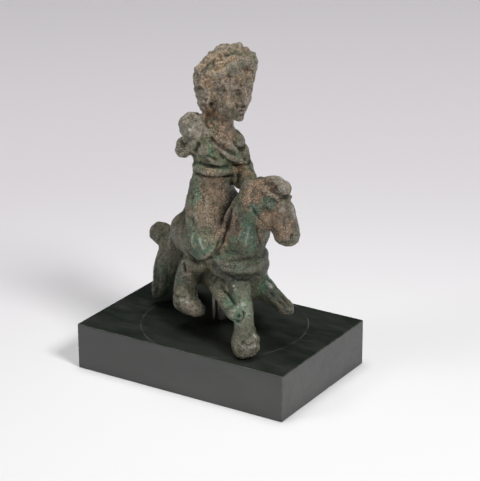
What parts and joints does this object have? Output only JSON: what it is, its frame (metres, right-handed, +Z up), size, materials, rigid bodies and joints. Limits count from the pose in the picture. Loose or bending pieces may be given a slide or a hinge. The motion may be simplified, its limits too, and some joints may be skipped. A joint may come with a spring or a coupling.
{
  "type": "equestrian statuette",
  "caption": "Small patinated bronze of a rider on a leaping horse, held by a pin and a post above a black oblong display block.",
  "frame": {"origin": "middle of the display block's underside", "axes": "+X along the block's long side, +Y along its short side, +Z up. The horse faces 20 degrees from +X towards -Y"},
  "size_m": [0.095, 0.063, 0.1343],
  "materials": {
    "patinated_bronze": "rough green and brown burial patina with glossy spots",
    "black_paint": "satin black paint on wood",
    "pin_steel": "dull wire",
    "post_metal": "matt grey paint"
  },
  "bodies": {
    "root": {"horse_and_rider": "patinated_bronze", "display_block": "black_paint", "support_pin": "pin_steel", "support_post": "post_metal"}
  },
  "joints": []
}
